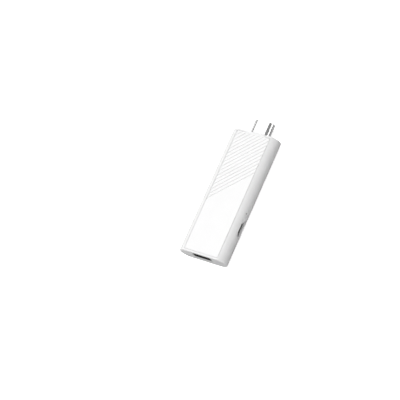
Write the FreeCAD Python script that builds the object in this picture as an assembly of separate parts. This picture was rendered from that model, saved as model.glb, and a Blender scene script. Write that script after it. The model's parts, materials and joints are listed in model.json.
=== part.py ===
import FreeCAD, Part
import math
import os

from FreeCAD import Vector

# Streaming stick. Millimetres. X runs across the stick, and the power port is on the +X side.
# Y runs along it, towards the video plug. Z is up. The origin lies under the middle of the whole length.

# Body, from outside
body_length = 89.0
body_width = 34.6
body_height = 12.4
side_bulge = 4.9
shoulder_radius = 10.0
shoulder_tilt = 22.0
end_edge_chamfer = 0.4

# Housing walls and the parting between the tub and the cover
wall = 1.3
end_wall = 1.2
cover_thickness = 1.2
cover_proud = 0.2
cover_gap = 0.1
cover_corner_radius = 0.9
cover_edge_chamfer = 0.25
ledge_width = 0.9
ledge_thickness = 0.9

# Grooves in the cover
groove_angle = 46.0
groove_pitch = 2.28
groove_top_width = 1.05
groove_bottom_width = 0.45
groove_depth = 0.35
groove_border = 0.3
groove_reach = 39.5

# Cover hooks
hook_length = 3.6
hook_stem = 0.7
hook_catch = 0.45
hook_catch_height = 0.7
hook_slack = 0.1
hook_from_near = 16.0
hook_from_far = 13.0

# Board and the posts that carry it
port_headroom = 0.38
board_side_gap = 0.2
board_thickness = 1.0
board_corner_radius = 1.0
board_near_gap = 0.5
board_far_gap = 4.5
post_from_side = 1.6
post_from_near = 17.0
post_from_far = 22.5
post_radius = 1.9
pin_radius = 0.75
pin_height = 1.6
screw_shank_radius = 0.8
screw_tip_gap = 0.3
thread_clearance = 0.03
screw_head_radius = 1.4
screw_head_height = 1.0
screw_recess_width = 0.45
screw_recess_depth = 0.55
hole_clearance = 0.1

# Vents in the floor, under the processor
vent_count = 7
vent_pitch = 2.6
vent_width = 1.2
vent_length = 14.0

# Video plug
plug_reach = 11.0
plug_offset_x = 0.6
plug_rise = 1.0
plug_width = 13.9
plug_height = 4.45
plug_step_height = 1.6
plug_step_width = 11.2
plug_top_width = 8.8
plug_side_round = 0.75
plug_top_round = 0.3
plug_base_round = 0.35
plug_inner_round = 0.25
plug_sheet = 0.3
plug_seat_clearance = 0.05
plug_slot_clearance = 0.2
plug_latch_length = 2.4
plug_latch_width = 2.0
plug_latch_from_tip = 3.2
plug_latch_spread = 5.6
plug_mouth_width = 11.0
plug_mouth_height = 1.5
plug_mouth_depth = 8.0
plug_face_depth = 1.0
plug_contact_pitch = 1.0
plug_contact_width = 0.4
plug_contact_thickness = 0.2
plug_contact_setback = 0.8
plug_contact_proud = 0.1
plug_rear_gap = 0.2
plug_bend_run = 0.6
plug_arm_length = 3.8
plug_arm_height = 1.6
plug_foot_width = 1.4
plug_tail_length = 1.8
plug_upper_count = 10
plug_lower_count = 9

# Host port, in the near end
host_width = 13.14
host_height = 5.72
host_sheet = 0.3
host_length = 13.8
host_round = 0.6
host_setback = 0.2
host_cutout_clearance = 0.15
host_tongue_width = 11.1
host_tongue_thickness = 1.84
host_tongue_gap = 0.7
host_tongue_setback = 0.9
host_block_length = 4.6
host_contact_pitch = 2.33
host_contact_width = 1.0
host_contact_thickness = 0.25
host_contact_proud = 0.1
host_contact_count = 4
host_spring_width = 1.8
host_spring_length = 6.0
host_spring_lean = 0.45
host_spring_lip = 0.6
host_spring_from_mouth = 2.4
host_spring_spread = 3.4
host_leg_width = 1.6
host_leg_reach = 1.2
host_leg_spots = (3.0, 10.5)

# Power port, in the right side
power_from_near = 25.0
power_width = 8.94
power_height = 3.26
power_sheet = 0.3
power_length = 7.2
power_wall_gap = 0.25
power_tongue_width = 6.69
power_tongue_thickness = 0.7
power_tongue_setback = 0.9
power_block_length = 2.6
power_plate_thickness = 0.15
power_plate_inset = 0.35
power_contact_pitch = 0.5
power_contact_width = 0.25
power_contact_thickness = 0.1
power_contact_proud = 0.03
power_contact_setback = 0.5
power_bend_run = 0.25
power_tail_length = 0.5
power_contact_count = 12
power_leg_width = 0.9
power_leg_reach = 1.2
power_leg_spots = (4.7, 6.5)
power_opening_length = 10.2
power_opening_height = 4.3
power_opening_flare = 0.35
power_flare_depth = 0.5
power_collar_wall = 0.6
power_lip_thickness = 0.5
power_lip_gap = 0.15

# Reset switch and its pinhole
reset_from_near = 35.5
pinhole_radius = 0.6
switch_axis_rise = 3.3
switch_overhang = 0.6
switch_depth = 3.4
switch_width = 4.4
switch_height = 4.9
switch_frame_sheet = 0.2
switch_frame_rise = 0.8
plunger_width = 1.7
plunger_height = 1.5
plunger_reach = 1.5
plunger_tip_round = 0.2
plunger_flange = 0.45
plunger_flange_thickness = 0.5
plunger_clearance = 0.15
plunger_flange_gap = 0.05
plunger_travel = 0.25
dome_gap = 0.05
dome_bulge = 0.45
dome_sheet = 0.1
dome_radius = 1.3
dome_top_radius = 0.6
terminal_width = 0.7
terminal_sheet = 0.2
terminal_reach = 0.8
terminal_from_front = 1.0
terminal_from_back = 0.7

# Processor, its heat sink and its memory. Each size is along X, along Y and up.
processor_size = (14.0, 14.0, 1.4)
pad_thickness = 0.5
sink_width = 16.0
sink_from_near = 41.0
sink_from_far = 24.0
sink_headroom = 0.8
sink_base = 1.0
sink_fin_count = 7
sink_fin_thickness = 1.0
memory_side_gap = 1.1
memory_middle_gap = 2.4
memory_length = 13.3
memory_height = 0.9

# Storage chip, by the plug
storage_size = (11.0, 12.6, 1.0)
storage_from_far = 16.4

# Power supply, by the power port
power_chip_size = (5.0, 5.0, 0.85)
bulk_capacitor_size = (3.5, 2.8, 1.9)
bulk_capacitor_from_near = 16.8
bulk_capacitor_pitch = 4.2
bulk_capacitor_count = 3
inductor_size = (4.0, 4.0, 1.9)
inductor_corner = 0.6
inductor_x = -1.8
inductor_from_near = 36.2
inductor_pitch = 4.5
inductor_count = 3

# Small parts
chip_capacitor_size = (0.6, 1.1, 0.55)
chip_resistor_size = (0.6, 1.1, 0.35)
chip_row_gap = 0.9
chip_row_pitch = 1.4
chip_row_count = 8
power_row_gap = 1.9
power_row_count = 4
main_crystal_size = (2.5, 3.2, 0.8)
main_crystal_from_side = 1.4
main_crystal_setback = 8.8
clock_crystal_size = (1.5, 3.2, 0.75)
clock_crystal_from_side = 1.1
clock_crystal_setback = 8.0
surge_chip_size = (2.5, 1.0, 0.5)
surge_chip_spread = 6.8
surge_chip_from_edge = 3.0
filter_row_from_edge = 5.7
status_led_size = (1.6, 0.8, 0.6)
status_led_from_side = 1.3
status_led_from_near = 6.0
light_spot_radius = 1.0
light_spot_skin = 0.4

# Wireless board and its antenna, along the left side
wireless_from_side = 1.4
wireless_from_middle = 0.9
wireless_length = 12.0
wireless_board_height = 0.6
wireless_from_near = 25.5
wireless_chip_size = (5.0, 5.0, 0.7)
wireless_shield_height = 1.7
wireless_shield_sheet = 0.15
wireless_shield_inset = 0.4
wireless_shield_corner = 0.45
antenna_from_side = 0.5
antenna_from_near = 20.0
antenna_length = 14.0
antenna_height = 4.0
antenna_strip = 1.4
antenna_sheet = 0.3
antenna_foot_width = 1.2
antenna_feed_pitch = 3.6

# Small allowances for the shape operations
edge_tolerance = 1e-6
pill_slack = 0.01
through = 1.0
full_turn = 360

# Places worked out from the sizes above
overall_length = body_length + plug_reach
near_y = -overall_length / 2
far_y = near_y + body_length
tip_y = near_y + overall_length
rim_z = body_height - cover_proud
mid_z = rim_z / 2
half_panel = body_width / 2 - side_bulge
# Each side is a shoulder arc that leaves the crease at a tilt, a flank arc tangent to it, and the same below.
shoulder_x = half_panel - shoulder_radius * math.sin(math.radians(shoulder_tilt))
shoulder_z = rim_z - shoulder_radius * math.cos(math.radians(shoulder_tilt))
shoulder_drop = mid_z - shoulder_z
shoulder_reach = body_width / 2 - shoulder_x
flank_radius = (shoulder_radius ** 2 - shoulder_reach ** 2 - shoulder_drop ** 2) / (
    2 * (shoulder_radius - shoulder_reach)
)
flank_x = body_width / 2 - flank_radius
flank_lean = math.atan2(shoulder_drop, flank_x - shoulder_x)
cover_under_z = body_height - cover_thickness
roof_z = cover_under_z - ledge_thickness
board_top_z = cover_under_z - port_headroom - host_height
board_under_z = board_top_z - board_thickness
screw_tip_z = wall + screw_tip_gap
board_near_y = near_y + end_wall + board_near_gap
board_far_y = far_y - end_wall - board_far_gap
half_board = half_panel - ledge_width - board_side_gap
plug_z = (board_under_z + board_top_z) / 2 + plug_rise
host_z = board_top_z + host_height / 2
power_z = board_top_z + power_height / 2
switch_z = board_top_z + switch_axis_rise
post_x = half_board - post_from_side
post_near_y = near_y + post_from_near
post_far_y = far_y - post_from_far
screw_spots = ((-post_x, post_near_y), (post_x, post_far_y))
pin_spots = ((post_x, post_near_y), (-post_x, post_far_y))
first_groove_y = far_y - groove_reach
hook_near_y = near_y + hook_from_near
hook_far_y = far_y - hook_from_far
hook_spots = (hook_near_y, (hook_near_y + hook_far_y) / 2, hook_far_y)
sink_near_y = near_y + sink_from_near
sink_far_y = far_y - sink_from_far
sink_z = board_top_z + processor_size[2] + pad_thickness
processor_spot = (0, (sink_near_y + sink_far_y) / 2)
memory_width = half_board - memory_side_gap - memory_middle_gap / 2
memory_spread = memory_width + memory_middle_gap
storage_spot = (0, far_y - storage_from_far)
wireless_width = half_board - wireless_from_side - wireless_from_middle
wireless_spot = (-wireless_from_middle - wireless_width / 2, near_y + wireless_from_near)
main_crystal_spot = (main_crystal_from_side - half_board, processor_spot[1] - main_crystal_setback)
clock_crystal_spot = (half_board - clock_crystal_from_side, processor_spot[1] - clock_crystal_setback)
status_led_spot = (status_led_from_side - half_board, near_y + status_led_from_near)
antenna_x = antenna_from_side - half_board
antenna_near_y = near_y + antenna_from_near
surge_chip_y = board_far_y - surge_chip_from_edge
filter_row_y = board_far_y - filter_row_from_edge
power_port_y = near_y + power_from_near
reset_y = near_y + reset_from_near
switch_front_x = half_board + switch_overhang
plug_rear_y = board_far_y + plug_rear_gap
plug_slot_half = plug_width / 2 + plug_slot_clearance
host_mouth_y = near_y + host_setback
host_tongue_under_z = host_z + host_height / 2 - host_sheet - host_tongue_gap - host_tongue_thickness
host_contact_z = host_tongue_under_z + host_contact_thickness / 2 - host_contact_proud
host_tail_y = host_mouth_y + host_length - host_sheet - host_block_length / 2
flange_front_x = switch_front_x - plunger_flange_gap
dome_base_x = flange_front_x - plunger_flange_thickness - plunger_travel - dome_gap - dome_bulge


def inner_flank_x(z):
    """X of the side wall's inner face at height z."""
    return flank_x + math.sqrt((flank_radius - wall) ** 2 - (z - mid_z) ** 2)


power_mouth_x = inner_flank_x(board_top_z + power_height) - power_wall_gap
power_rear_x = power_mouth_x - power_length
power_collar_x = power_mouth_x + power_lip_gap
power_lip_x = power_collar_x + power_lip_thickness
power_tail_x = power_rear_x - 2 * power_bend_run - power_tail_length
power_chip_spot = ((power_tail_x - wireless_from_middle) / 2, power_port_y)


# Shape helpers


def box(x0, x1, y0, y1, z0, z1):
    return Part.makeBox(x1 - x0, y1 - y0, z1 - z0, Vector(x0, y0, z0))


def block(spot, size, base_z):
    """Box centred on spot, standing on base_z."""
    half_x = size[0] / 2
    half_y = size[1] / 2
    return box(spot[0] - half_x, spot[0] + half_x, spot[1] - half_y, spot[1] + half_y,
               base_z, base_z + size[2])


def joined(solids):
    """One solid fused from touching solids."""
    result = solids[0]
    for solid in solids[1:]:
        result = result.fuse(solid)
    return result.removeSplitter()


def rounded_face(corners, place):
    """Flat face from corners (a, b, radius). place turns a and b into a point in space."""
    count = len(corners)
    edges = []
    starts = []
    ends = []
    middles = []
    for i in range(count):
        a, b, radius = corners[i]
        to_last = Vector(corners[i - 1][0] - a, corners[i - 1][1] - b, 0).normalize()
        to_next = Vector(corners[(i + 1) % count][0] - a, corners[(i + 1) % count][1] - b, 0).normalize()
        corner = Vector(a, b, 0)
        half_angle = to_last.getAngle(to_next) / 2
        run = radius / math.tan(half_angle)
        inward = (to_last + to_next).normalize()
        starts.append(corner + to_last * run)
        ends.append(corner + to_next * run)
        middles.append(corner + inward * (radius / math.sin(half_angle) - radius))
    for i in range(count):
        points = [place(p.x, p.y) for p in (starts[i], middles[i], ends[i])]
        edges.append(Part.Arc(*points).toShape())
        leave = ends[i]
        arrive = starts[(i + 1) % count]
        edges.append(Part.makeLine(place(leave.x, leave.y), place(arrive.x, arrive.y)))
    return Part.Face(Part.Wire(edges))


def rounded_rectangle(x0, x1, y0, y1, radius, z):
    corners = [(x0, y0, radius), (x1, y0, radius), (x1, y1, radius), (x0, y1, radius)]
    return rounded_face(corners, lambda a, b: Vector(a, b, z))


def drawn(points, way):
    """Solid drawn from a flat outline along way."""
    return Part.Face(Part.makePolygon(points + points[:1])).extrude(way)


def bent_strip(path, thickness, middle, width, along="Y"):
    """Sheet strip that follows a path of (distance, z) points along Y or X, with its width across."""
    left = []
    right = []
    last = len(path) - 1
    for i in range(len(path)):
        here = Vector(path[i][0], path[i][1], 0)
        before = Vector(*path[max(i - 1, 0)], 0)
        after = Vector(*path[min(i + 1, last)], 0)
        into = (here - before) if i > 0 else (after - here)
        out = (after - here) if i < last else into
        into = Vector(into).normalize()
        out = Vector(out).normalize()
        side_in = Vector(-into.y, into.x, 0)
        side_out = Vector(-out.y, out.x, 0)
        mitre = (side_in + side_out).normalize()
        reach = thickness / 2 / mitre.dot(side_in)
        left.append(here + mitre * reach)
        right.append(here - mitre * reach)
    outline = left + right[::-1]
    edge = middle - width / 2
    if along == "Y":
        points = [Vector(edge, p.x, p.y) for p in outline]
        across = Vector(width, 0, 0)
    else:
        points = [Vector(p.x, edge, p.y) for p in outline]
        across = Vector(0, width, 0)
    return drawn(points, across)


def upright_edges(solid):
    return [e for e in solid.Edges if e.BoundBox.ZLength > edge_tolerance]


def spread(count, pitch):
    """Evenly spaced offsets about zero."""
    return [(i - (count - 1) / 2) * pitch for i in range(count)]


def four_corners(half_a, half_b, radius):
    """Corners of a rounded rectangle about zero, for rounded_face."""
    return [(sa * half_a, sb * half_b, radius) for sa, sb in ((-1, -1), (1, -1), (1, 1), (-1, 1))]


def pill_face(x, half_y, half_z):
    """Pill-shaped face across X, centred on the power port."""
    corners = four_corners(half_y, half_z, half_z - pill_slack)
    return rounded_face(corners, lambda a, b: Vector(x, power_port_y + a, power_z + b))


# Housing


def oval_face(y, inset):
    """Cross-section of the body at y, drawn in by inset all round."""
    shoulder = shoulder_radius - inset
    flank = flank_radius - inset
    crease = math.asin((rim_z - inset - shoulder_z) / shoulder)
    crease_x = shoulder_x + shoulder * math.cos(crease)

    def arc(side, centre_x, centre_z, radius, start, end):
        points = []
        for angle in (start, (start + end) / 2, end):
            x = centre_x + radius * math.cos(angle)
            z = centre_z + radius * math.sin(angle)
            points.append(Vector(side * x, y, z))
        return Part.Arc(*points).toShape()

    def side_arcs(side):
        return [
            arc(side, shoulder_x, shoulder_z, shoulder, crease, flank_lean),
            arc(side, flank_x, mid_z, flank, flank_lean, -flank_lean),
            arc(side, shoulder_x, rim_z - shoulder_z, shoulder, -flank_lean, -crease),
        ]

    def flat(z):
        return Part.makeLine(Vector(-crease_x, y, z), Vector(crease_x, y, z))

    right = side_arcs(1)
    left = side_arcs(-1)[::-1]
    return Part.Face(Part.Wire([flat(rim_z - inset)] + right + [flat(inset)] + left))


def cover_outline(gap, z):
    """Outline of the cover's pocket, drawn in by gap."""
    return rounded_rectangle(
        -half_panel + gap, half_panel - gap,
        near_y + end_wall + gap, far_y - end_wall - gap,
        cover_corner_radius, z,
    )


def cover_pocket():
    """Pocket that the cover lies in, and the window inside its ledge."""
    pocket = cover_outline(0, cover_under_z).extrude(Vector(0, 0, 2 * cover_thickness))
    window = rounded_rectangle(
        -half_panel + ledge_width, half_panel - ledge_width,
        near_y + end_wall + ledge_width, far_y - end_wall - ledge_width,
        cover_corner_radius, mid_z,
    ).extrude(Vector(0, 0, body_height))
    return [pocket, window]


def host_cutout():
    """Hole for the host port in the near wall, and the notch that it needs in the ledge."""
    half_x = host_width / 2 + host_cutout_clearance
    half_z = host_height / 2 + host_cutout_clearance
    corners = four_corners(half_x, half_z, host_round + host_cutout_clearance)
    start = near_y - through
    inside = near_y + end_wall
    hole = rounded_face(corners, lambda a, b: Vector(a, start, host_z + b))
    hole = hole.extrude(Vector(0, inside + through - start, 0))
    notch = box(-half_x, half_x, inside, inside + 2 * ledge_width, mid_z, cover_under_z)
    return [hole, notch]


def plug_slot():
    """Slot in the far wall that the plug drops into from above."""
    inside = far_y - end_wall - 2 * ledge_width
    base = plug_z - plug_height / 2 - plug_slot_clearance
    return box(plug_offset_x - plug_slot_half, plug_offset_x + plug_slot_half,
               inside, far_y + end_wall, base, 2 * body_height)


def power_collar():
    """Collar inside the right wall, from the port's opening to the port's mouth."""
    half_y = power_opening_length / 2 + power_collar_wall
    half_z = power_opening_height / 2 + power_collar_wall
    return box(power_collar_x, body_width / 2, power_port_y - half_y, power_port_y + half_y,
               power_z - half_z, power_z + half_z)


def power_opening():
    """Pill-shaped opening in the right side, flared at the outer face, and a window the size of the port."""
    def pill(x, grow):
        return pill_face(x, power_opening_length / 2 + grow, power_opening_height / 2 + grow)

    outside_x = body_width / 2 + power_flare_depth
    flare_x = body_width / 2 - power_flare_depth
    bore = pill(power_lip_x, 0).extrude(Vector(outside_x - power_lip_x, 0, 0))
    window = pill_face(power_mouth_x, power_width / 2, power_height / 2)
    window = window.extrude(Vector(outside_x - power_mouth_x, 0, 0))
    mouth = Part.makeLoft(
        [pill(flare_x, 0).OuterWire, pill(outside_x, 2 * power_opening_flare).OuterWire], True, True
    )
    return [window, bore, mouth]


def reset_pinhole():
    return Part.makeCylinder(pinhole_radius, flank_radius + wall, Vector(flank_x + wall, reset_y, switch_z),
                             Vector(1, 0, 0))


def floor_vents():
    slots = []
    for x in spread(vent_count, vent_pitch):
        face = rounded_rectangle(
            x - vent_width / 2, x + vent_width / 2,
            processor_spot[1] - vent_length / 2, processor_spot[1] + vent_length / 2,
            vent_width / 2 - pill_slack, -through,
        )
        slots.append(face.extrude(Vector(0, 0, wall + 2 * through)))
    return slots


def board_posts():
    """Two screw posts and two posts with locating pins, from the floor to the board."""
    height = board_under_z - wall
    posts = []
    for x, y in screw_spots:
        post = Part.makeCylinder(post_radius, height, Vector(x, y, wall))
        pilot = Part.makeCylinder(screw_shank_radius + thread_clearance, height, Vector(x, y, screw_tip_z))
        posts.append(post.cut(pilot))
    for x, y in pin_spots:
        post = Part.makeCylinder(post_radius, height, Vector(x, y, wall))
        pin = Part.makeCylinder(pin_radius, pin_height, Vector(x, y, board_under_z))
        posts.append(post.fuse(pin))
    return posts


def lower_housing():
    outer = oval_face(near_y, 0).extrude(Vector(0, body_length, 0))
    end_edges = [e for e in outer.Edges if e.BoundBox.YLength < edge_tolerance]
    outer = outer.makeChamfer(end_edge_chamfer, end_edges)
    cavity = oval_face(near_y + end_wall, wall).extrude(Vector(0, body_length - 2 * end_wall, 0))
    reach = body_width / 2
    cavity = cavity.common(box(-reach, reach, near_y, far_y, 0, roof_z))
    tub = outer.cut(cavity).fuse(power_collar().common(outer))
    tools = cover_pocket() + host_cutout() + [plug_slot()] + power_opening() + [reset_pinhole()]
    for tool in tools + floor_vents():
        tub = tub.cut(tool)
    for post in board_posts():
        tub = tub.fuse(post)
    return tub


def cover_grooves():
    """Diagonal grooves over the plug half of the cover."""
    angle = math.radians(groove_angle)
    forward = Vector(math.cos(angle), math.sin(angle), 0)
    sideways = Vector(-math.sin(angle), math.cos(angle), 0)
    step_y = groove_pitch / math.cos(angle)
    edge_x = half_panel - cover_gap - groove_border
    end_y = far_y - end_wall - cover_gap - groove_border
    field = box(-edge_x, edge_x, near_y, end_y, cover_under_z, body_height + groove_depth)
    half_top = groove_top_width / 2
    half_bottom = groove_bottom_width / 2
    slope = (half_top - half_bottom) / groove_depth
    above = half_top + slope * groove_depth
    grooves = []
    y = first_groove_y
    while y - edge_x * math.tan(angle) < end_y:
        start = Vector(0, y, 0) - forward * body_length
        section = [(-half_bottom, -groove_depth), (half_bottom, -groove_depth),
                   (above, groove_depth), (-above, groove_depth)]
        points = [start + sideways * s + Vector(0, 0, body_height + z) for s, z in section]
        grooves.append(drawn(points, forward * (2 * body_length)).common(field))
        y += step_y
    return grooves


def cover_hooks():
    """Snap hooks that catch under the ledge, along both sides."""
    stem_out = half_panel - ledge_width - hook_slack
    stem_in = stem_out - hook_stem
    catch_z = roof_z - hook_slack / 2
    tip_z = catch_z - hook_catch_height
    hooks = []
    for side in (-1, 1):
        for y in hook_spots:
            outline = [(stem_in, cover_under_z), (stem_out, cover_under_z), (stem_out, catch_z),
                       (stem_out + hook_slack + hook_catch, catch_z), (stem_out, tip_z), (stem_in, tip_z)]
            points = [Vector(side * x, y - hook_length / 2, z) for x, z in outline]
            hooks.append(drawn(points, Vector(0, hook_length, 0)))
    return hooks


def plug_tongue():
    """Tongue of the cover that closes the far wall's slot above the plug."""
    x0 = plug_offset_x - plug_slot_half + cover_gap
    x1 = plug_offset_x + plug_slot_half - cover_gap
    base = plug_z + plug_height / 2 - plug_step_height + plug_slot_clearance
    gate = box(x0, x1, far_y - end_wall, far_y, base, rim_z)
    bridge = box(x0, x1, far_y - 2 * end_wall, far_y, cover_under_z, rim_z)
    tongue = gate.fuse(bridge)
    at_end = [e for e in tongue.Edges if e.BoundBox.YMin > far_y - edge_tolerance]
    corner = [e for e in at_end if e.BoundBox.ZMin > rim_z - edge_tolerance]
    tongue = tongue.makeChamfer(end_edge_chamfer, corner)
    passage = plug_profile(-plug_slot_clearance, plug_rear_y).extrude(Vector(0, tip_y - plug_rear_y, 0))
    return tongue.cut(passage)


def top_cover():
    plate = cover_outline(cover_gap, cover_under_z).extrude(Vector(0, 0, cover_thickness))
    upper_edges = [e for e in plate.Edges if e.BoundBox.ZMin > body_height - edge_tolerance]
    cover = plate.makeChamfer(cover_edge_chamfer, upper_edges)
    cover = cover.fuse([plug_tongue()] + cover_hooks())
    light_spot = Part.makeCylinder(
        light_spot_radius, cover_thickness - light_spot_skin,
        Vector(status_led_spot[0], status_led_spot[1], cover_under_z),
    )
    cover = cover.cut(light_spot)
    cover = cover.cut(Part.makeCompound(cover_grooves()))
    return cover


# Board and what it carries


def leg_slot(x0, x1, y0, y1):
    """Slot through the board for a leg, with clearance all round."""
    grow = hole_clearance
    return box(x0 - grow, x1 + grow, y0 - grow, y1 + grow, wall, board_top_z + wall)


def host_leg_spans():
    spans = []
    for side in (-1, 1):
        outer = side * host_width / 2
        inner = outer - side * host_sheet
        for distance in host_leg_spots:
            y = host_mouth_y + distance
            x0, x1 = sorted((outer, inner))
            spans.append((x0, x1, y - host_leg_width / 2, y + host_leg_width / 2))
    return spans


def power_leg_spans():
    spans = []
    for side in (-1, 1):
        outer = power_port_y + side * power_width / 2
        inner = outer - side * power_sheet
        for distance in power_leg_spots:
            x = power_mouth_x - distance
            y0, y1 = sorted((outer, inner))
            spans.append((x - power_leg_width / 2, x + power_leg_width / 2, y0, y1))
    return spans


def host_tail_spans():
    spans = []
    for x in spread(host_contact_count, host_contact_pitch):
        spans.append((x - host_contact_width / 2, x + host_contact_width / 2,
                      host_tail_y - host_contact_thickness / 2, host_tail_y + host_contact_thickness / 2))
    return spans


def main_board():
    board = rounded_rectangle(-half_board, half_board, board_near_y, board_far_y,
                              board_corner_radius, board_under_z).extrude(Vector(0, 0, board_thickness))
    for spots, radius in ((screw_spots, screw_shank_radius), (pin_spots, pin_radius)):
        for x, y in spots:
            board = board.cut(Part.makeCylinder(radius + hole_clearance, body_height, Vector(x, y, 0)))
    for span in host_leg_spans() + power_leg_spans() + host_tail_spans():
        board = board.cut(leg_slot(*span))
    return board


def board_screws():
    """Two screws with cross recesses, without their threads."""
    screws = []
    half = screw_recess_width / 2
    for x, y in screw_spots:
        head = Part.makeCylinder(screw_head_radius, screw_head_height, Vector(x, y, board_top_z))
        length = board_top_z - screw_tip_z
        shank = Part.makeCylinder(screw_shank_radius, length, Vector(x, y, screw_tip_z))
        arm = screw_head_radius - screw_recess_width
        top = board_top_z + screw_head_height
        base = top - screw_recess_depth
        cross = box(x - arm, x + arm, y - half, y + half, base, top).fuse(
            box(x - half, x + half, y - arm, y + arm, base, top))
        screws.append(head.fuse(shank).removeSplitter().cut(cross))
    return Part.makeCompound(screws)


def processor():
    return block(processor_spot, processor_size, board_top_z)


def thermal_pad():
    size = (processor_size[0], processor_size[1], pad_thickness)
    return block(processor_spot, size, board_top_z + processor_size[2])


def heat_sink():
    """Comb-shaped profile drawn along the stick."""
    half = sink_width / 2
    fin_pitch = (sink_width - sink_fin_thickness) / (sink_fin_count - 1)
    half_gap = (fin_pitch - sink_fin_thickness) / 2
    base_z = sink_z + sink_base
    top_z = cover_under_z - sink_headroom
    outline = [(half, sink_z), (-half, sink_z), (-half, top_z)]
    for x in spread(sink_fin_count - 1, fin_pitch):
        left = x - half_gap
        right = x + half_gap
        outline += [(left, top_z), (left, base_z), (right, base_z), (right, top_z)]
    outline.append((half, top_z))
    points = [Vector(x, sink_near_y, z) for x, z in outline]
    return drawn(points, Vector(0, sink_far_y - sink_near_y, 0))


def memory_chips():
    size = (memory_width, memory_length, memory_height)
    spots = [(offset, processor_spot[1]) for offset in spread(2, memory_spread)]
    return Part.makeCompound([block(spot, size, board_under_z - memory_height) for spot in spots])


def storage_chip():
    return block(storage_spot, storage_size, board_top_z)


def power_chip():
    return block(power_chip_spot, power_chip_size, board_top_z)


def power_inductors():
    coils = []
    for offset in spread(inductor_count, inductor_pitch):
        spot = (inductor_x + offset, near_y + inductor_from_near)
        body = block(spot, inductor_size, board_top_z)
        coils.append(body.makeChamfer(inductor_corner, upright_edges(body)))
    return Part.makeCompound(coils)


def bulk_capacitors():
    y = near_y + bulk_capacitor_from_near
    spots = [(offset, y) for offset in spread(bulk_capacitor_count, bulk_capacitor_pitch)]
    return Part.makeCompound([block(spot, bulk_capacitor_size, board_top_z) for spot in spots])


def small_capacitors():
    """Rows beside the processor and the power chip, and a row on the underside near the plug."""
    spots = []
    row_x = processor_size[0] / 2 + chip_row_gap
    for side in (-1, 1):
        for offset in spread(chip_row_count, chip_row_pitch):
            spots.append((processor_spot[0] + side * row_x, processor_spot[1] + offset))
    power_row_y = power_chip_spot[1] + power_chip_size[1] / 2 + power_row_gap
    for offset in spread(power_row_count, chip_row_pitch):
        spots.append((power_chip_spot[0] + offset, power_row_y))
    chips = [block(spot, chip_capacitor_size, board_top_z) for spot in spots]
    under_z = board_under_z - chip_capacitor_size[2]
    for offset in spread(chip_row_count, chip_row_pitch):
        chips.append(block((plug_offset_x + offset, filter_row_y), chip_capacitor_size, under_z))
    return Part.makeCompound(chips)


def chip_resistors():
    """A row between the processor and the power parts."""
    y = sink_near_y - chip_row_pitch
    return Part.makeCompound([
        block((processor_spot[0] + offset, y), chip_resistor_size, board_top_z)
        for offset in spread(chip_row_count, chip_row_pitch)
    ])


def main_crystal():
    return block(main_crystal_spot, main_crystal_size, board_top_z)


def clock_crystal():
    return block(clock_crystal_spot, clock_crystal_size, board_top_z)


def surge_protection_chips():
    base_z = board_under_z - surge_chip_size[2]
    spots = [(plug_offset_x + offset, surge_chip_y) for offset in spread(2, surge_chip_spread)]
    return Part.makeCompound([block(spot, surge_chip_size, base_z) for spot in spots])


def status_led():
    return block(status_led_spot, status_led_size, board_top_z)


def wireless_board():
    return block(wireless_spot, (wireless_width, wireless_length, wireless_board_height), board_top_z)


def wireless_chip():
    return block(wireless_spot, wireless_chip_size, board_top_z + wireless_board_height)


def wireless_shield():
    """Pressed lid over the wireless board, open underneath."""
    base_z = board_top_z + wireless_board_height
    size_x = wireless_width - 2 * wireless_shield_inset
    size_y = wireless_length - 2 * wireless_shield_inset
    lid = block(wireless_spot, (size_x, size_y, wireless_shield_height), base_z)
    lid = lid.makeChamfer(wireless_shield_corner, upright_edges(lid))
    underside = [f for f in lid.Faces if f.BoundBox.ZMax < base_z + edge_tolerance]
    return lid.makeThickness(underside, -wireless_shield_sheet, edge_tolerance)


def wireless_antenna():
    """Stamped strip on two feet, standing along the board's left edge."""
    far_end_y = antenna_near_y + antenna_length
    top_z = board_top_z + antenna_height
    strip_z = top_z - antenna_strip
    feed_y = antenna_near_y + antenna_feed_pitch
    outline = [
        (antenna_near_y, board_top_z), (antenna_near_y + antenna_foot_width, board_top_z),
        (antenna_near_y + antenna_foot_width, strip_z), (feed_y, strip_z), (feed_y, board_top_z),
        (feed_y + antenna_foot_width, board_top_z), (feed_y + antenna_foot_width, strip_z),
        (far_end_y, strip_z), (far_end_y, top_z), (antenna_near_y, top_z),
    ]
    points = [Vector(antenna_x - antenna_sheet / 2, y, z) for y, z in outline]
    return drawn(points, Vector(antenna_sheet, 0, 0))


# Video plug


def plug_profile(inset, y):
    """The plug's stepped outline at y, narrow side up, drawn in by inset."""
    half = plug_width / 2 - inset
    half_step = plug_step_width / 2 - inset
    half_top = plug_top_width / 2 - inset
    base = -plug_height / 2 + inset
    top = plug_height / 2 - inset
    step = plug_height / 2 - plug_step_height - inset
    inner = plug_inner_round + max(inset, 0)

    def outer(radius):
        return max(radius - inset, plug_inner_round)

    right = [
        (half, base, outer(plug_base_round)), (half, step, outer(plug_side_round)),
        (half_step, step, inner), (half_top, top, outer(plug_top_round)),
    ]
    left = [(-a, b, radius) for a, b, radius in right[::-1]]
    return rounded_face(right + left, lambda a, b: Vector(plug_offset_x + a, y, plug_z + b))


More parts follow.
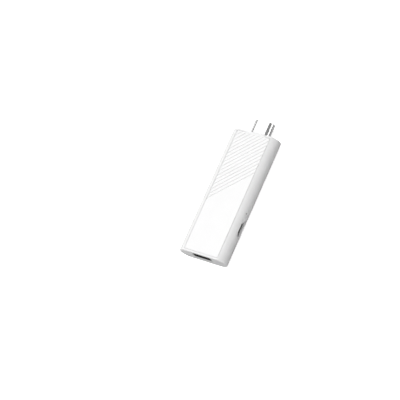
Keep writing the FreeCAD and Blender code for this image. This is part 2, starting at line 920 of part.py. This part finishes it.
def video_plug_shell():
    length = tip_y - plug_rear_y
    outer = plug_profile(0, plug_rear_y).extrude(Vector(0, length, 0))
    inner = plug_profile(plug_sheet, plug_rear_y - through).extrude(Vector(0, length + 2 * through, 0))
    shell = outer.cut(inner)
    under = plug_z - plug_height / 2
    for x in spread(2, plug_latch_spread):
        end = tip_y - plug_latch_from_tip
        shell = shell.cut(box(
            plug_offset_x + x - plug_latch_width / 2, plug_offset_x + x + plug_latch_width / 2,
            end - plug_latch_length, end, under - plug_sheet, under + 2 * plug_sheet,
        ))
    feet = []
    for side in (-1, 1):
        outer_x = plug_offset_x + side * plug_width / 2
        inner_x = outer_x - side * plug_sheet
        foot_x = outer_x + side * plug_foot_width
        x0, x1 = sorted((outer_x, inner_x))
        arm_top = board_top_z + plug_arm_height
        feet.append(box(x0, x1, plug_rear_y - plug_arm_length, plug_rear_y + through, board_top_z, arm_top))
        x0, x1 = sorted((inner_x, foot_x))
        feet.append(box(x0, x1, plug_rear_y - plug_arm_length, board_far_y - plug_rear_gap,
                        board_top_z, board_top_z + plug_sheet))
    return joined([shell] + feet)


def plug_contact_strips(count, side):
    """A row of contacts, with tails that bend onto the board. side is 1 above the mouth and -1 below."""
    strip_z = plug_z + side * (plug_mouth_height / 2 + plug_contact_thickness / 2 - plug_contact_proud)
    surface = board_top_z if side > 0 else board_under_z
    tail_z = surface + side * plug_contact_thickness / 2
    front_y = tip_y - plug_face_depth - plug_contact_setback
    bend_y = plug_rear_y + plug_bend_run
    path = [(front_y, strip_z), (bend_y + plug_bend_run, strip_z), (bend_y, tail_z),
            (board_far_y - plug_tail_length, tail_z)]
    return [bent_strip(path, plug_contact_thickness, plug_offset_x + x, plug_contact_width)
            for x in spread(count, plug_contact_pitch)]


def video_plug_insulator():
    front_y = tip_y - plug_face_depth
    inset = plug_sheet + plug_seat_clearance
    body = plug_profile(inset, plug_rear_y).extrude(Vector(0, front_y - plug_rear_y, 0))
    half_x = plug_mouth_width / 2
    half_z = plug_mouth_height / 2
    mouth = box(plug_offset_x - half_x, plug_offset_x + half_x, front_y - plug_mouth_depth, tip_y,
                plug_z - half_z, plug_z + half_z)
    body = body.cut(mouth)
    strips = plug_contact_strips(plug_upper_count, 1) + plug_contact_strips(plug_lower_count, -1)
    return body.cut(Part.makeCompound(strips))


def video_plug_upper_contacts():
    return Part.makeCompound(plug_contact_strips(plug_upper_count, 1))


def video_plug_lower_contacts():
    return Part.makeCompound(plug_contact_strips(plug_lower_count, -1))


# Host port


def host_profile(inset, y):
    corners = four_corners(host_width / 2 - inset, host_height / 2 - inset, host_round - inset)
    return rounded_face(corners, lambda a, b: Vector(a, y, host_z + b))


def host_port_shell():
    outer = host_profile(0, host_mouth_y).extrude(Vector(0, host_length, 0))
    inner = host_profile(host_sheet, host_mouth_y - through)
    inner = inner.extrude(Vector(0, through + host_length - host_sheet, 0))
    shell = outer.cut(inner)
    spring_y = host_mouth_y + host_spring_from_mouth
    springs = []
    for side in (-1, 1):
        sheet_z = host_z + side * (host_height / 2 - host_sheet / 2)
        for x in spread(2, 2 * host_spring_spread):
            half = host_spring_width / 2
            shell = shell.cut(box(x - half, x + half, spring_y, spring_y + host_spring_length,
                                  sheet_z - host_sheet, sheet_z + host_sheet))
            tip_z = sheet_z - side * host_spring_lean
            path = [(spring_y + host_spring_length + host_sheet, sheet_z),
                    (spring_y + host_spring_length - host_sheet, sheet_z),
                    (spring_y + host_spring_lip + host_sheet, tip_z),
                    (spring_y + host_sheet, tip_z + side * host_sheet / 2)]
            springs.append(bent_strip(path, host_sheet, x, host_spring_width - 2 * hole_clearance))
    half_tails = spread(host_contact_count, host_contact_pitch)[-1] + host_contact_width
    shell = shell.cut(box(
        -half_tails, half_tails, host_tail_y - host_contact_width, host_tail_y + host_contact_width,
        board_top_z - host_sheet, board_top_z + 2 * host_sheet,
    ))
    legs = [box(*span, board_under_z - host_leg_reach, host_z) for span in host_leg_spans()]
    return joined([shell] + springs + legs)


def host_contact_strips():
    path = [
        (host_mouth_y + host_tongue_setback + host_contact_width, host_contact_z),
        (host_tail_y, host_contact_z),
        (host_tail_y, board_under_z - host_leg_reach / 2),
    ]
    return [bent_strip(path, host_contact_thickness, x, host_contact_width)
            for x in spread(host_contact_count, host_contact_pitch)]


def host_port_tongue():
    """Moulded block at the back of the shell, with the tongue that carries the contacts."""
    inset = host_sheet + plug_seat_clearance
    rear_y = host_mouth_y + host_length - inset
    block_y = rear_y - host_block_length
    body = host_profile(inset, block_y).extrude(Vector(0, host_block_length, 0))
    half = host_tongue_width / 2
    tongue = box(-half, half, host_mouth_y + host_tongue_setback, block_y + through,
                 host_tongue_under_z, host_tongue_under_z + host_tongue_thickness)
    body = joined([body, tongue])
    return body.cut(Part.makeCompound(host_contact_strips()))


def host_port_contacts():
    return Part.makeCompound(host_contact_strips())


# Power port


def power_profile(inset, x):
    return pill_face(x, power_width / 2 - inset, power_height / 2 - inset)


def power_port_shell():
    outer = power_profile(0, power_rear_x).extrude(Vector(power_length, 0, 0))
    inner = power_profile(power_sheet, power_rear_x - through)
    inner = inner.extrude(Vector(power_length + 2 * through, 0, 0))
    legs = [box(*span, board_under_z - power_leg_reach, power_z) for span in power_leg_spans()]
    return joined([outer.cut(inner)] + legs)


def power_contact_strips(side):
    """A row of contacts on one face of the tongue. side is 1 above."""
    offset = (power_tongue_thickness - power_contact_thickness) / 2 + power_contact_proud
    strip_z = power_z + side * offset
    front_x = power_mouth_x - power_tongue_setback - power_contact_setback
    if side > 0:
        tail_z = board_top_z + power_contact_thickness / 2
        bend_x = power_rear_x - power_bend_run
        path = [(front_x, strip_z), (bend_x, strip_z),
                (bend_x - power_bend_run, tail_z), (power_tail_x, tail_z)]
    else:
        path = [(front_x, strip_z), (power_rear_x + power_bend_run, strip_z)]
    return [bent_strip(path, power_contact_thickness, power_port_y + y, power_contact_width, "X")
            for y in spread(power_contact_count, power_contact_pitch)]


def power_mid_plate():
    half = power_tongue_width / 2
    front_x = power_mouth_x - power_tongue_setback - power_plate_inset
    return box(power_rear_x + power_block_length / 2, front_x, power_port_y - half, power_port_y + half,
               power_z - power_plate_thickness / 2, power_z + power_plate_thickness / 2)


def power_port_tongue():
    inset = power_sheet + plug_seat_clearance
    body = power_profile(inset, power_rear_x).extrude(Vector(power_block_length, 0, 0))
    half = power_tongue_width / 2
    tongue = box(power_rear_x + power_block_length / 2, power_mouth_x - power_tongue_setback,
                 power_port_y - half, power_port_y + half,
                 power_z - power_tongue_thickness / 2, power_z + power_tongue_thickness / 2)
    body = joined([body, tongue])
    inserts = power_contact_strips(1) + power_contact_strips(-1) + [power_mid_plate()]
    return body.cut(Part.makeCompound(inserts))


def power_port_upper_contacts():
    return Part.makeCompound(power_contact_strips(1))


def power_port_lower_contacts():
    return Part.makeCompound(power_contact_strips(-1))


# Reset switch


def reset_switch_base():
    half_y = switch_width / 2
    body = box(switch_front_x - switch_depth, switch_front_x, reset_y - half_y, reset_y + half_y,
               board_top_z, board_top_z + switch_height)
    half_flange_y = plunger_width / 2 + plunger_flange + plunger_clearance
    half_flange_z = plunger_height / 2 + plunger_flange + plunger_clearance
    chamber = box(dome_base_x, switch_front_x, reset_y - half_flange_y, reset_y + half_flange_y,
                  switch_z - half_flange_z, switch_z + half_flange_z)
    return body.cut(chamber)


def reset_switch_frame():
    """Bent cover plate: a front with the plunger's window, and a top."""
    half_y = switch_width / 2
    top_z = board_top_z + switch_height
    front_x = switch_front_x + switch_frame_sheet
    front = box(switch_front_x, front_x, reset_y - half_y, reset_y + half_y,
                board_top_z + switch_frame_rise, top_z + switch_frame_sheet)
    top = box(switch_front_x - switch_depth, front_x, reset_y - half_y, reset_y + half_y,
              top_z, top_z + switch_frame_sheet)
    window_y = plunger_width / 2 + plunger_clearance
    window_z = plunger_height / 2 + plunger_clearance
    window = box(switch_front_x - through, front_x + through, reset_y - window_y, reset_y + window_y,
                 switch_z - window_z, switch_z + window_z)
    return joined([front, top]).cut(window)


def reset_switch_dome():
    """Snap dome at the back of the switch's chamber: a shallow cone with a flat top."""
    outline = [(dome_radius, 0), (dome_top_radius, dome_bulge), (0, dome_bulge),
               (0, dome_bulge - dome_sheet), (dome_top_radius, dome_bulge - dome_sheet),
               (dome_radius - dome_sheet, 0)]
    points = [Vector(dome_base_x + rise, reset_y, switch_z + radius) for radius, rise in outline]
    face = Part.Face(Part.makePolygon(points + points[:1]))
    return face.revolve(Vector(dome_base_x, reset_y, switch_z), Vector(1, 0, 0), full_turn)


def reset_switch_terminals():
    feet = []
    spots_x = (switch_front_x - switch_depth + terminal_from_back, switch_front_x - terminal_from_front)
    for side in (-1, 1):
        inner = reset_y + side * switch_width / 2
        y0, y1 = sorted((inner, inner + side * terminal_reach))
        for x in spots_x:
            feet.append(box(x - terminal_width / 2, x + terminal_width / 2, y0, y1,
                            board_top_z, board_top_z + terminal_sheet))
    return Part.makeCompound(feet)


def reset_plunger():
    half_y = plunger_width / 2
    half_z = plunger_height / 2
    tip_x = switch_front_x + switch_frame_sheet + plunger_reach
    stem = box(flange_front_x - plunger_flange_thickness, tip_x, reset_y - half_y, reset_y + half_y,
               switch_z - half_z, switch_z + half_z)
    front_edges = [e for e in stem.Edges if e.BoundBox.XMin > tip_x - edge_tolerance]
    stem = stem.makeFillet(plunger_tip_round, front_edges)
    flange = box(flange_front_x - plunger_flange_thickness, flange_front_x,
                 reset_y - half_y - plunger_flange, reset_y + half_y + plunger_flange,
                 switch_z - half_z - plunger_flange, switch_z + half_z + plunger_flange)
    return joined([stem, flange])


pieces = {
    "lower_housing": lower_housing,
    "top_cover": top_cover,
    "main_board": main_board,
    "board_screws": board_screws,
    "processor": processor,
    "thermal_pad": thermal_pad,
    "heat_sink": heat_sink,
    "memory_chips": memory_chips,
    "storage_chip": storage_chip,
    "power_chip": power_chip,
    "power_inductors": power_inductors,
    "bulk_capacitors": bulk_capacitors,
    "small_capacitors": small_capacitors,
    "chip_resistors": chip_resistors,
    "main_crystal": main_crystal,
    "clock_crystal": clock_crystal,
    "surge_protection_chips": surge_protection_chips,
    "status_led": status_led,
    "wireless_board": wireless_board,
    "wireless_chip": wireless_chip,
    "wireless_shield": wireless_shield,
    "wireless_antenna": wireless_antenna,
    "video_plug_shell": video_plug_shell,
    "video_plug_insulator": video_plug_insulator,
    "video_plug_upper_contacts": video_plug_upper_contacts,
    "video_plug_lower_contacts": video_plug_lower_contacts,
    "host_port_shell": host_port_shell,
    "host_port_tongue": host_port_tongue,
    "host_port_contacts": host_port_contacts,
    "power_port_shell": power_port_shell,
    "power_port_tongue": power_port_tongue,
    "power_port_mid_plate": power_mid_plate,
    "power_port_upper_contacts": power_port_upper_contacts,
    "power_port_lower_contacts": power_port_lower_contacts,
    "reset_switch_base": reset_switch_base,
    "reset_switch_frame": reset_switch_frame,
    "reset_switch_dome": reset_switch_dome,
    "reset_switch_terminals": reset_switch_terminals,
    "reset_plunger": reset_plunger,
}

os.makedirs("parts", exist_ok=True)
for name, make in pieces.items():
    shape = make()
    shape.exportStep(f"parts/{name}.step")
    print(name, "solids", len(shape.Solids), "volume", round(shape.Volume, 2), "valid", shape.isValid())
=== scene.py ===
import json
import math

import bpy
from mathutils import Matrix, Vector


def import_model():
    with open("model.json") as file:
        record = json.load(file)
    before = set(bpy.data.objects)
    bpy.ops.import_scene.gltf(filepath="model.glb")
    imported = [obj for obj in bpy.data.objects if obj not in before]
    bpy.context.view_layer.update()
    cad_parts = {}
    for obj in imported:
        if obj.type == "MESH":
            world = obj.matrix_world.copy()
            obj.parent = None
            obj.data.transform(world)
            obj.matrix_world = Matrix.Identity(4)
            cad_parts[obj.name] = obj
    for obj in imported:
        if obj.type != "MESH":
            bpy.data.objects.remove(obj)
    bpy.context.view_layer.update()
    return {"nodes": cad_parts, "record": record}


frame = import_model()
nodes = frame["nodes"]

# Camera. It looks down at the stick's right side, with the plug at the upper right.
# Places and clip distances are in metres, lens and sensor in millimetres.
camera_place = Vector((0.42705, -0.25943, 0.81869))
camera_aim = Vector((-0.01602, -0.01533, 0.0124))
camera_roll = math.radians(40.706)
camera_lens = 133.43
camera_sensor = 36.0
camera_clip_start = 0.01
camera_clip_end = 20.0

# Floor and surroundings
white = (1, 1, 1, 1)
floor_size = 6.0
floor_brightness = 0.35
floor_patch_scale = 3.0
floor_patch_spread = 0.005
floor_roughness = 0.9
floor_glow = 0.9
world_strength = 0.07

# Lamps, aimed at the origin. Each has its name, its place and size in metres, its power in watts,
# whether it shows in reflections, and whether it lights matt surfaces.
light_aim = Vector((0, 0, 0))
lamps = (
    ("top_light", (0.0, 0.0, 1.3), 1.2, 21.5, True, True),
    ("left_light", (-1.0, 0.0, 0.7), 0.9, 4.0, False, True),
    ("near_light", (0.0, -1.0, 0.35), 0.8, 2.0, False, True),
    ("mirror_light", (-0.6, 0.33, 1.1), 0.6, 2.0, True, True),
    ("right_light", (1.0, 0.26, 0.2), 0.6, 0.4, True, False),
)

# Textures. Scales are per metre, spreads are shares of the colour, and bump heights are in metres.
# The ramp turns noise between its two ends into the darkest and the lightest tone.
ramp_low, ramp_high = 0.3, 0.7
bump_height = 0.00002
plastic_tone_scale = 90.0
plastic_tone_spread = 0.012
plastic_grain_scale = 6000.0
plastic_grain_detail = 1.0
plastic_grain_strength = 0.25
plastic_ior = 1.5
metal_mark_scale = 4000.0
metal_mark_stretch = (1.0, 0.06, 1.0)
metal_mark_spread = 0.05
metal_mark_strength = 0.1
metal_mark_height = 0.00001
grain_detail = 4.0
grain_strength = 0.2
laminate_scale = 420.0
laminate_strength = 0.15


# Materials


def new_material(name, roughness):
    """Material with its node tree, its shader and its object coordinates."""
    material = bpy.data.materials.new(name)
    material.use_nodes = True
    tree = material.node_tree
    shader = tree.nodes["Principled BSDF"]
    shader.inputs["Roughness"].default_value = roughness
    coordinates = tree.nodes.new("ShaderNodeTexCoord")
    return material, tree, shader, coordinates.outputs["Object"]


def noise(tree, vector, scale, detail=2.0):
    """Noise from 0 to 1."""
    node = tree.nodes.new("ShaderNodeTexNoise")
    node.inputs["Scale"].default_value = scale
    node.inputs["Detail"].default_value = detail
    tree.links.new(vector, node.inputs["Vector"])
    return node.outputs["Fac"]


def varied_colour(tree, shader, fac, colour, spread):
    """Base colour that varies a little either side of colour, as fac goes from 0 to 1."""
    ramp = tree.nodes.new("ShaderNodeValToRGB")
    low, high = ramp.color_ramp.elements
    low.position, high.position = ramp_low, ramp_high
    low.color = [c * (1 - spread) for c in colour] + [1]
    high.color = [min(1.0, c * (1 + spread)) for c in colour] + [1]
    tree.links.new(fac, ramp.inputs["Fac"])
    tree.links.new(ramp.outputs["Color"], shader.inputs["Base Color"])


def bumped(tree, shader, height, strength, distance=bump_height):
    """Surface relief that follows height."""
    bump = tree.nodes.new("ShaderNodeBump")
    bump.inputs["Strength"].default_value = strength
    bump.inputs["Distance"].default_value = distance
    tree.links.new(height, bump.inputs["Height"])
    tree.links.new(bump.outputs["Normal"], shader.inputs["Normal"])


def moulded_plastic(name, colour, roughness):
    """Moulded plastic with a fine spark-eroded grain."""
    material, tree, shader, place = new_material(name, roughness)
    varied_colour(tree, shader, noise(tree, place, plastic_tone_scale), colour, plastic_tone_spread)
    grain = noise(tree, place, plastic_grain_scale, plastic_grain_detail)
    bumped(tree, shader, grain, plastic_grain_strength)
    shader.inputs["IOR"].default_value = plastic_ior
    return material


def sheet_metal(name, colour, roughness):
    """Plated sheet metal with faint rolling marks."""
    material, tree, shader, place = new_material(name, roughness)
    stretch = tree.nodes.new("ShaderNodeMapping")
    stretch.inputs["Scale"].default_value = metal_mark_stretch
    tree.links.new(place, stretch.inputs["Vector"])
    marks = noise(tree, stretch.outputs["Vector"], metal_mark_scale)
    varied_colour(tree, shader, marks, colour, metal_mark_spread)
    bumped(tree, shader, marks, metal_mark_strength, metal_mark_height)
    shader.inputs["Metallic"].default_value = 1.0
    return material


def fine_grained(name, colour, roughness, scale, spread=0.1):
    """Resin, ceramic, ferrite or rubber with a visible fine grain."""
    material, tree, shader, place = new_material(name, roughness)
    grain = noise(tree, place, scale, grain_detail)
    varied_colour(tree, shader, grain, colour, spread)
    bumped(tree, shader, grain, grain_strength)
    return material


def laminate(name, colour, roughness, spread):
    """Solder resist over copper: slightly lighter where the copper lies under it."""
    material, tree, shader, place = new_material(name, roughness)
    cells = tree.nodes.new("ShaderNodeTexVoronoi")
    cells.distance = "CHEBYCHEV"
    cells.inputs["Scale"].default_value = laminate_scale
    tree.links.new(place, cells.inputs["Vector"])
    varied_colour(tree, shader, cells.outputs["Distance"], colour, spread)
    bumped(tree, shader, cells.outputs["Distance"], laminate_strength)
    return material


# Each slot's kind of material, with its colour, its roughness and what else that kind takes
slot_looks = {
    "housing_plastic": (moulded_plastic, (0.66, 0.66, 0.66), 0.5),
    "cover_plastic": (moulded_plastic, (0.66, 0.66, 0.66), 0.5),
    "board_laminate": (laminate, (0.012, 0.075, 0.045), 0.35, 0.45),
    "screw_steel": (sheet_metal, (0.45, 0.45, 0.44), 0.35),
    "chip_resin": (fine_grained, (0.012, 0.012, 0.014), 0.6, 5000.0),
    "pad_rubber": (fine_grained, (0.35, 0.38, 0.45), 0.8, 2500.0),
    "sink_aluminium": (sheet_metal, (0.72, 0.73, 0.74), 0.45),
    "coil_ferrite": (fine_grained, (0.05, 0.05, 0.055), 0.7, 3000.0, 0.2),
    "capacitor_ceramic": (fine_grained, (0.27, 0.15, 0.07), 0.5, 3000.0),
    "crystal_can": (sheet_metal, (0.6, 0.6, 0.57), 0.3),
    "led_lens": (fine_grained, (0.8, 0.8, 0.68), 0.2, 3000.0, 0.03),
    "shield_steel": (sheet_metal, (0.55, 0.56, 0.56), 0.4),
    "plug_steel": (sheet_metal, (0.46, 0.46, 0.46), 0.22),
    "insulator_plastic": (moulded_plastic, (0.012, 0.012, 0.013), 0.5),
    "port_plastic": (moulded_plastic, (0.3, 0.3, 0.3), 0.5),
    "contact_gold": (sheet_metal, (0.83, 0.56, 0.2), 0.28),
    "plunger_plastic": (moulded_plastic, (0.55, 0.55, 0.53), 0.5),
}
slot_materials = {name: kind(name, *values) for name, (kind, *values) in slot_looks.items()}

for row in frame["record"]["subparts"]:
    node = nodes[row["node"]]
    node.data.materials.clear()
    node.data.materials.append(slot_materials[row["material_slot"]])


# Stage


def floor():
    """Plain pale floor under the stick. Its glow keeps it white and lights nothing else."""
    bpy.ops.mesh.primitive_plane_add(size=floor_size, location=(0, 0, 0))
    plane = bpy.context.object
    plane.name = "floor"
    material, tree, shader, place = new_material("floor_white", floor_roughness)
    patches = noise(tree, place, floor_patch_scale)
    varied_colour(tree, shader, patches, (floor_brightness,) * 3, floor_patch_spread)
    shader.inputs["Emission Color"].default_value = white
    shader.inputs["Emission Strength"].default_value = floor_glow
    plane.data.materials.append(material)
    lit_by_glow = bpy.data.collections.new("lit_by_glow")
    lit_by_glow.objects.link(plane)
    plane.light_linking.receiver_collection = lit_by_glow


def lamp(name, place, size, power, in_reflections, on_matt):
    """Round lamp aimed at the stick. The camera never sees it."""
    data = bpy.data.lights.new(name, "AREA")
    data.shape = "DISK"
    data.size = size
    data.energy = power
    light = bpy.data.objects.new(name, data)
    bpy.context.scene.collection.objects.link(light)
    light.location = place
    light.rotation_euler = (light_aim - Vector(place)).to_track_quat("-Z", "Y").to_euler()
    light.visible_camera = False
    light.visible_glossy = in_reflections
    light.visible_diffuse = on_matt


def world():
    """Faint even light from all round."""
    scene_world = bpy.data.worlds.new("studio")
    bpy.context.scene.world = scene_world
    scene_world.use_nodes = True
    background = scene_world.node_tree.nodes["Background"]
    background.inputs["Color"].default_value = white
    background.inputs["Strength"].default_value = world_strength


def camera():
    """Camera at the photograph's viewing angle."""
    data = bpy.data.cameras.new("camera")
    data.lens = camera_lens
    data.sensor_width = camera_sensor
    data.clip_start = camera_clip_start
    data.clip_end = camera_clip_end
    view = bpy.data.objects.new("camera", data)
    bpy.context.scene.collection.objects.link(view)
    turn = (camera_aim - camera_place).to_track_quat("-Z", "Y").to_matrix().to_4x4()
    view.matrix_world = Matrix.Translation(camera_place) @ turn @ Matrix.Rotation(-camera_roll, 4, "Z")
    bpy.context.scene.camera = view


floor()
world()
for row in lamps:
    lamp(*row)
camera()
bpy.context.scene.view_settings.view_transform = "Standard"
